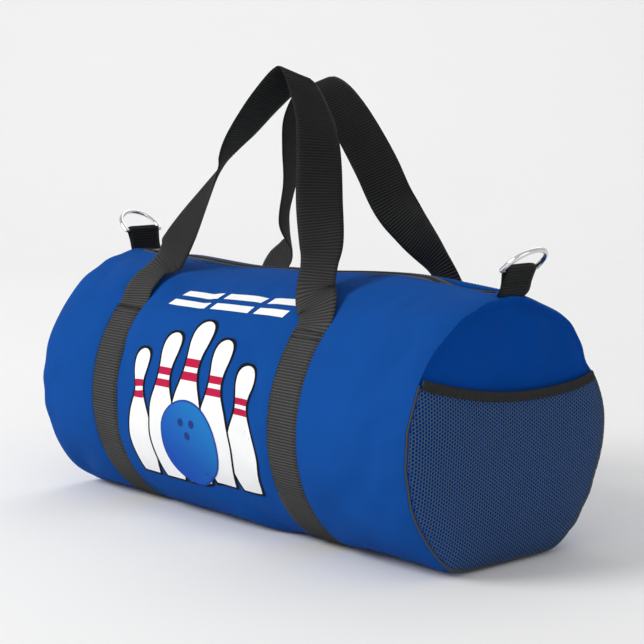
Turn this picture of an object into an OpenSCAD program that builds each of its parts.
// Barrel duffel bag with two webbing handles, a zipped mouth, a mesh end pocket
// and a metal D-ring at each end. Millimetres, +Z up, origin on the floor under
// the middle of the bag. +X points to the end with the pocket, -Y to the front.

/* [Bag body] */
// Length between the two end seams
bag_length = 470; // [450:1:500]
// Radius of the round barrel section
barrel_r = 115; // [113:1:117]
// Height of the barrel's centre line above the floor
centre_h = 98; // [96:1:100]
// Thickness of the lined fabric
wall = 1.6; // [1.2:0.1:1.8]
// How far each end panel bulges
end_bulge = 3; // [2:0.5:4]

/* [Webbing] */
// Width of the webbing of the handles and straps
webbing_w = 38; // [34:1:40]
// Thickness of the webbing
webbing_t = 1.5; // [1.2:0.1:1.8]
// Middle of the left strap along the bag
left_strap_x = -138; // [-142:1:-134]
// Middle of the right strap along the bag
right_strap_x = 100; // [96:1:104]
// Angle of the stitch bars above the barrel's centre line, in degrees
stitch_angle = 42; // [41:1:43]

/* [Mouth and zip] */
// Half the length of the opening flaps
mouth_half_l = 172; // [165:1:175]
// Distance of each flap's fold line from the zip
mouth_half_w = 31; // [28:1:33]
// Width of each half of the zip tape
tape_w = 11; // [9:1:12]
// Length of the pull tab
pull_l = 22; // [18:1:23]

/* [End pocket] */
// Height of the pocket's top edge at its middle
pocket_h = 138; // [130:1:145]
// Rise of the top edge from its middle to its ends
pocket_rise = 13; // [8:1:16]
// Height of the elastic binding
binding_h = 8; // [6:1:10]

/* [D-rings] */
// Width inside each ring
ring_inner_w = 35; // [32:1:38]
// Diameter of the ring's wire
ring_wire = 4; // [3:0.5:4]
// Tilt of each ring above level at rest, in degrees
ring_tilt = 40; // [20:1:50]

/* [Hidden] */
$fn = 96;

blue = [0.05, 0.25, 0.58];
deep_blue = [0.02, 0.17, 0.48];
black = [0.12, 0.12, 0.12];
grey = [0.3, 0.29, 0.27];
nickel = [0.78, 0.78, 0.76];

half_l = bag_length / 2;
gap = 0.1;                       // between layers that are sewn together
floor_z = webbing_t + gap;       // underside of the main panel
top_z = centre_h + barrel_r;     // highest line of the main panel
inner_r = barrel_r - wall;

// Zip
teeth_half_gap = 1;              // the slider's post runs between the rows
teeth_w = 1.6;
teeth_h = 1.6;
tape_t = 0.8;
tape_y = teeth_half_gap + teeth_w;
zip_slot = 10.5;                 // half the slot in the panel over the zip
tape_r = inner_r - gap;
teeth_z = centre_h + tape_r - 0.3;
fold_gap = 1;                    // room each side of a flap's fold line
flap_play = 0.6;                 // between a flap's ends and the panel
zip_end = half_l - 11;           // outer end of the zip tapes
slider_x = -190;                 // the closed zip's slider
slider_l = 11;
slider_w = 11;
slider_plate = 1.2;
slider_top = teeth_z + teeth_h + 0.4 + slider_plate;
slider_low = centre_h + tape_r - tape_t - 0.4;
pull_pin_r = 0.9;
pull_pin_z = slider_top + 2.3;
pull_droop = 5;

// D-rings and their tabs
tab_w = ring_inner_w - 2;
tab_lean = 14;                   // degrees outwards
tab_h = 19;
ring_y = 6;                      // the tabs and rings sit this far behind the zip
tab_foot_x = half_l - 0.6;
wire_r = ring_wire / 2;
loop_bore = wire_r + 0.05;
loop_r = loop_bore + webbing_t;
ring_r = ring_inner_w / 2 + wire_r;
ring_side = 5;
ring_x = tab_foot_x + tab_h * sin(tab_lean);
ring_z = top_z + 0.2 + tab_h * cos(tab_lean);

// Pocket
pocket_slope = -0.07;            // the top edge is a little higher at the front
pocket_depth = 11.5;

// Handles: [x, y, z, turn], where turn is the webbing's angle about +Z from +X.
// The route leaves one stitch bar, runs up to the crest and down to the other.
handle_lean = 17;
front_route = [
    [left_strap_x, -84.5, 178.5, 0], [left_strap_x - 1, -73, 191, 0],
    [left_strap_x - 2, -60, 202, 0], [-138, -51, 208, 0],
    [-133, -46, 215, 0], [-124, -45, 225, 2],
    [-91, -46, 259, 16], [-61, -45, 295, 36],
    [-50, -43, 311, 52], [-36, -41, 328, 68],
    [-18, -36, 349, 80], [-3, -31, 365, 88],
    [8, -27, 376, 90], [15, -25, 379, 90],
    [23, -26, 374, 92], [33, -28, 363, 98],
    [50, -34, 343, 106], [59, -39, 327, 112],
    [65, -43, 307, 120], [73, -50, 276, 136],
    [82, -56, 245, 154], [84, -60, 228, 170],
    [86, -66, 208, 170], [right_strap_x - 4, -73, 195, 176],
    [right_strap_x, -84.5, 178.5, 180]];
rear_route = [
    [left_strap_x, 84.5, 178.5, 0], [-136.5, 80, 190, 2],
    [-130, 80.5, 200, 7], [-118, 80, 211, 20],
    [-108, 77, 223, 38], [-100, 64, 250, 58],
    [-76, 51, 288, 66], [-64, 43, 317, 76],
    [-52, 36, 342, 84], [-36, 31, 360, 88],
    [-22, 28, 369, 90], [-10, 28, 370, 90],
    [4, 31, 360, 98], [20, 38, 335, 115],
    [38, 46, 302, 128], [50, 54, 272, 140],
    [66, 60, 250, 164], [86, 66, 228, 180],
    [right_strap_x - 4, 72, 211, 186], [right_strap_x, 78, 194, 184],
    [right_strap_x, 84.5, 178.5, 180]];

// ---- shared shapes ----

// The bag's section in the Y-Z plane: a circle with a flat base
module section(r, base) {
    intersection() {
        translate([0, centre_h]) circle(r = r);
        translate([-2 * r, base]) square([4 * r, 4 * r]);
    }
}

// Extrudes a Y-Z outline along X from x0 to x1
module along_x(x0, x1) {
    translate([x0, 0, 0]) rotate([90, 0, 90]) linear_extrude(x1 - x0) children();
}

// A band between two radii over a range of angles from straight up
module arc_band(r0, r1, y0, y1) {
    intersection() {
        difference() {
            translate([0, centre_h]) circle(r = r1);
            translate([0, centre_h]) circle(r = r0);
        }
        translate([y0, centre_h]) square([y1 - y0, 2 * barrel_r]);
    }
}

// Height of a shallow dome at radius r
function dome(r, rise) = rise * (1 - pow(r / inner_r, 2));

// A shallow domed plate about the barrel's centre line, bulging along +X
module dome_plate(edge_r, base_x, rise, t) {
    steps = 8;
    radii = [for (i = [0:steps]) edge_r * i / steps];
    outer = [for (r = radii) [r, dome(r, rise) + t]];
    inner = [for (i = [steps:-1:0]) [radii[i], dome(radii[i], rise)]];
    translate([base_x, 0, centre_h]) rotate([0, 90, 0])
        rotate_extrude() polygon(concat(outer, inner));
}

// ---- body and ends ----

module main_panel() {
    color(blue) difference() {
        along_x(-half_l, half_l) difference() {
            section(barrel_r, floor_z);
            section(inner_r, floor_z + wall);
        }
        translate([-mouth_half_l - flap_play, -mouth_half_w - fold_gap, centre_h])
            cube([2 * (mouth_half_l + flap_play), 2 * (mouth_half_w + fold_gap), 2 * barrel_r]);
        translate([-zip_end, -zip_slot, centre_h])
            cube([2 * zip_end, 2 * zip_slot, 2 * barrel_r]);
    }
}

module end_panel(side) {
    edge_r = inner_r - gap;
    color(deep_blue) mirror([side < 0 ? 1 : 0, 0, 0]) intersection() {
        dome_plate(edge_r, half_l - wall, end_bulge, wall);
        along_x(half_l - 20, half_l + 20) section(edge_r, floor_z + wall + gap);
    }
}

module seam_binding(side) {
    binding_w = 8;
    binding_x = half_l - wall - 3 - binding_w;
    color(black) mirror([side < 0 ? 1 : 0, 0, 0])
        along_x(binding_x, binding_x + binding_w) difference() {
            section(inner_r - gap, floor_z + wall + gap);
            section(inner_r - 1.3, floor_z + wall + 1.3);
            translate([-zip_slot - tape_w, centre_h])
                square([2 * (zip_slot + tape_w), 2 * barrel_r]);
        }
}

// ---- end pocket ----

function pocket_edge(y) = pocket_h + pocket_slope * y
    + pocket_rise * pow(y / barrel_r, 2) * 1.3;

// Y-Z outline below the pocket's top edge, moved by dz
module below_edge(dz) {
    edge = [for (y = [-120:15:120]) [y, pocket_edge(y) + dz]];
    polygon(concat(edge, [[120, -5], [-120, -5]]));
}

// The pocket's side profile: steep at the seam, then nearly flat
module pocket_shell(out, t) {
    depth = pocket_depth + out;
    outline = [[inner_r + 0.9, 0.3], [inner_r - 5, 0.72 * depth], [inner_r - 14, 0.84 * depth],
               [60, 0.95 * depth], [0, depth]];
    back = [[0, depth - t], [60, 0.95 * depth - t], [inner_r - 14, 0.84 * depth - t],
            [inner_r - 6.5, 0.72 * depth - t], [inner_r - 0.9, 0.3]];
    translate([half_l, 0, centre_h]) rotate([0, 90, 0])
        rotate_extrude() polygon(concat(outline, back));
}

module pocket_mesh() {
    mesh_t = 1;
    color(grey) intersection() {
        pocket_shell(0, mesh_t);
        along_x(half_l, half_l + 30) below_edge(-binding_h / 2);
        along_x(half_l, half_l + 30) section(barrel_r, floor_z + 0.4);
    }
}

module pocket_binding() {
    binding_t = 2;
    color(black) intersection() {
        pocket_shell(0.5, binding_t);
        along_x(half_l, half_l + 30) difference() {
            below_edge(binding_h / 2);
            below_edge(gap - binding_h / 2);
        }
    }
}

// ---- sewn straps ----

module strap(x) {
    end_angle = stitch_angle - 0.8;
    far = 2 * barrel_r;
    color(grey) along_x(x - webbing_w / 2, x + webbing_w / 2) difference() {
        section(barrel_r + gap + webbing_t, 0);
        section(barrel_r + gap, webbing_t);
        translate([0, centre_h]) polygon([
            [0, 0], [far * cos(end_angle), far * sin(end_angle)], [far, 2 * far],
            [-far, 2 * far], [-far * cos(end_angle), far * sin(end_angle)]]);
    }
}

module strap_bartacks() {
    bar = [webbing_w - 4, 1.4, 0.6];
    color(black)
        for (x = [left_strap_x, right_strap_x], side = [-1, 1], k = [0:2])
            translate([x, 0, centre_h])
                rotate([side * (90 - stitch_angle + 2 + 2 * k), 0, 0])
                    translate([-bar[0] / 2, -bar[1] / 2, barrel_r + gap + webbing_t + 0.05])
                        cube(bar);
}

// ---- D-ring tabs and rings ----

// Places a shape from the right tab's foot, mirrored for the left end
module at_tab(side) {
    mirror([side < 0 ? 1 : 0, 0, 0])
        translate([tab_foot_x, ring_y, top_z + 0.2]) rotate([0, tab_lean, 0]) children();
}

module ring_tab(side) {
    stem_t = 2 * webbing_t;
    color(black) at_tab(side) difference() {
        union() {
            translate([-stem_t / 2, -tab_w / 2, 0.8]) cube([stem_t, tab_w, tab_h - 0.8]);
            translate([0, 0, tab_h]) rotate([90, 0, 0])
                cylinder(r = loop_r, h = tab_w, center = true);
        }
        translate([0, 0, tab_h]) rotate([90, 0, 0])
            cylinder(r = loop_bore, h = tab_w + 2, center = true);
    }
}

module ring_tab_stitches() {
    stitch = [0.5, tab_w - 4, 1];
    color(grey) for (side = [-1, 1], face = [-1, 1])
        at_tab(side)
            translate([face * (webbing_t + 0.05 + stitch[0] / 2) - stitch[0] / 2,
                       -stitch[1] / 2, tab_h - 6.5])
                cube(stitch);
}

module d_ring(side) {
    color(nickel) mirror([side < 0 ? 1 : 0, 0, 0])
        translate([ring_x, ring_y, ring_z]) rotate([0, -ring_tilt, 0]) {
            rotate([90, 0, 0]) cylinder(r = wire_r, h = 2 * ring_r, center = true);
            for (y = [-ring_r, ring_r]) translate([0, y, 0]) {
                sphere(r = wire_r);
                rotate([0, 90, 0]) cylinder(r = wire_r, h = ring_side);
            }
            translate([ring_side, 0, 0]) rotate([0, 0, -90])
                rotate_extrude(angle = 180) translate([ring_r, 0]) circle(r = wire_r);
        }
}

// ---- zip ----

module tape_half(side, x0, x1) {
    along_x(x0, x1) mirror([side < 0 ? 1 : 0, 0])
        arc_band(tape_r - tape_t, tape_r, tape_y, tape_y + tape_w);
}

module teeth_half(side, x0, x1) {
    mirror([0, side < 0 ? 1 : 0, 0])
        translate([x0, teeth_half_gap, teeth_z]) cube([x1 - x0, teeth_w, teeth_h]);
}

// The fixed stretch of zip between a flap's end and the end seam
module fixed_zip(side) {
    x0 = mouth_half_l + flap_play;
    color(black) mirror([side < 0 ? 1 : 0, 0, 0]) {
        for (row = [-1, 1]) {
            tape_half(row, x0, zip_end);
            translate([0, 0, -0.1]) teeth_half(row, x0, zip_end - 4);
        }
        translate([zip_end - 3, -tape_y - 1, teeth_z - 0.2])
            cube([2.5, 2 * (tape_y + 1), teeth_h + 0.3]);
    }
}

module mouth_panel(side) {
    color(blue) along_x(-mouth_half_l, mouth_half_l) mirror([side < 0 ? 1 : 0, 0])
        arc_band(inner_r, barrel_r, zip_slot, mouth_half_w - fold_gap);
}

module zip_tape(side) {
    color(black) tape_half(side, -mouth_half_l, mouth_half_l);
}

module zip_teeth(side) {
    color(black) teeth_half(side, -mouth_half_l, mouth_half_l);
}

module zip_slider() {
    post_w = 1.2;
    ear_w = 1.2;
    ear_l = 3.4;
    color(black) translate([slider_x, 0, 0]) {
        translate([-slider_l / 2, -slider_w / 2, slider_top - slider_plate])
            cube([slider_l, slider_w, slider_plate]);
        translate([-slider_l / 2, -slider_w / 2, slider_low - slider_plate])
            cube([slider_l, slider_w, slider_plate]);
        translate([-slider_l / 4, -post_w / 2, slider_low - slider_plate / 2])
            cube([slider_l / 2, post_w, slider_top - slider_low]);
        for (y = [-slider_w / 2, slider_w / 2 - ear_w])
            translate([-ear_l / 2, y, slider_top - 0.2])
                cube([ear_l, ear_w, pull_pin_z - slider_top + 1.9]);
        translate([0, 0, pull_pin_z]) rotate([90, 0, 0])
            cylinder(r = pull_pin_r, h = slider_w - 1, center = true);
    }
}

module zip_pull() {
    eye_r = 2;
    eye_w = 7;
    tab_t = 1.4;
    color(nickel) translate([slider_x, 0, pull_pin_z]) rotate([0, -pull_droop, 0])
        difference() {
            union() {
                rotate([90, 0, 0]) cylinder(r = eye_r, h = eye_w, center = true);
                translate([-pull_l, -eye_w / 2, -tab_t / 2]) cube([pull_l, eye_w, tab_t]);
            }
            rotate([90, 0, 0])
                cylinder(r = pull_pin_r + 0.05, h = eye_w + 2, center = true);
            translate([-pull_l + 3.5, 0, 0]) cylinder(r = 1.5, h = 5, center = true);
        }
}

// ---- handles ----

// Catmull-Rom value between b and c
function spline(a, b, c, d, t) = 0.5 * (2 * b + (c - a) * t
    + (2 * a - 5 * b + 4 * c - d) * t * t + (3 * b - a - 3 * c + d) * t * t * t);

// A route with extra stations between its points
function refine(p, n) = [
    for (i = [0:len(p) - 2], k = [0:n - 1])
        spline(p[max(i - 1, 0)], p[i], p[i + 1], p[min(i + 2, len(p) - 1)], k / n),
    p[len(p) - 1]];

function place(s) = [s[0], s[1], s[2]];
function unit(v) = v / norm(v);

// side: -1 for the front handle, 1 for the rear one
module handle(route, side) {
    stations = refine(route, 3);
    last = len(stations) - 1;
    half_w = webbing_w / 2;
    half_t = webbing_t / 2;
    rings = [for (i = [0:last])
        let (s = stations[i],
             along = unit(place(stations[min(i + 1, last)]) - place(stations[max(i - 1, 0)])),
             raw = [cos(s[3]), -sin(s[3]) * cos(handle_lean),
                    -side * sin(s[3]) * sin(handle_lean)],
             wide = unit(raw - (raw * along) * along),
             out = cross(wide, along))
        for (c = [[-1, -1], [1, -1], [1, 1], [-1, 1]])
            place(s) + c[0] * half_w * wide + c[1] * half_t * out];
    sides = [for (i = [0:last - 1], k = [0:3])
        let (a = 4 * i + k, b = 4 * i + (k + 1) % 4)
        for (f = [[a, a + 4, b], [b, a + 4, b + 4]]) f];
    end = 4 * last;
    caps = [[0, 1, 2], [0, 2, 3], [end, end + 2, end + 1], [end, end + 3, end + 2]];
    color(black) polyhedron(rings, concat(sides, caps), convexity = 10);
}

main_panel();
end_panel(-1);  // left_end_panel
end_panel(1);  // right_end_panel
seam_binding(-1);  // left_seam_binding
seam_binding(1);  // right_seam_binding
pocket_mesh();
pocket_binding();
strap(left_strap_x);  // left_strap
strap(right_strap_x);  // right_strap
strap_bartacks();
ring_tab(-1);  // left_ring_tab
ring_tab(1);  // right_ring_tab
ring_tab_stitches();
fixed_zip(-1);  // left_zip_end
fixed_zip(1);  // right_zip_end
mouth_panel(-1);  // front_mouth_panel
zip_tape(-1);  // front_zip_tape
zip_teeth(-1);  // front_zip_teeth
mouth_panel(1);  // rear_mouth_panel
zip_tape(1);  // rear_zip_tape
zip_teeth(1);  // rear_zip_teeth
zip_slider();
zip_pull();
d_ring(-1);  // left_d_ring
d_ring(1);  // right_d_ring
handle(front_route, -1);  // front_handle
handle(rear_route, 1);  // rear_handle
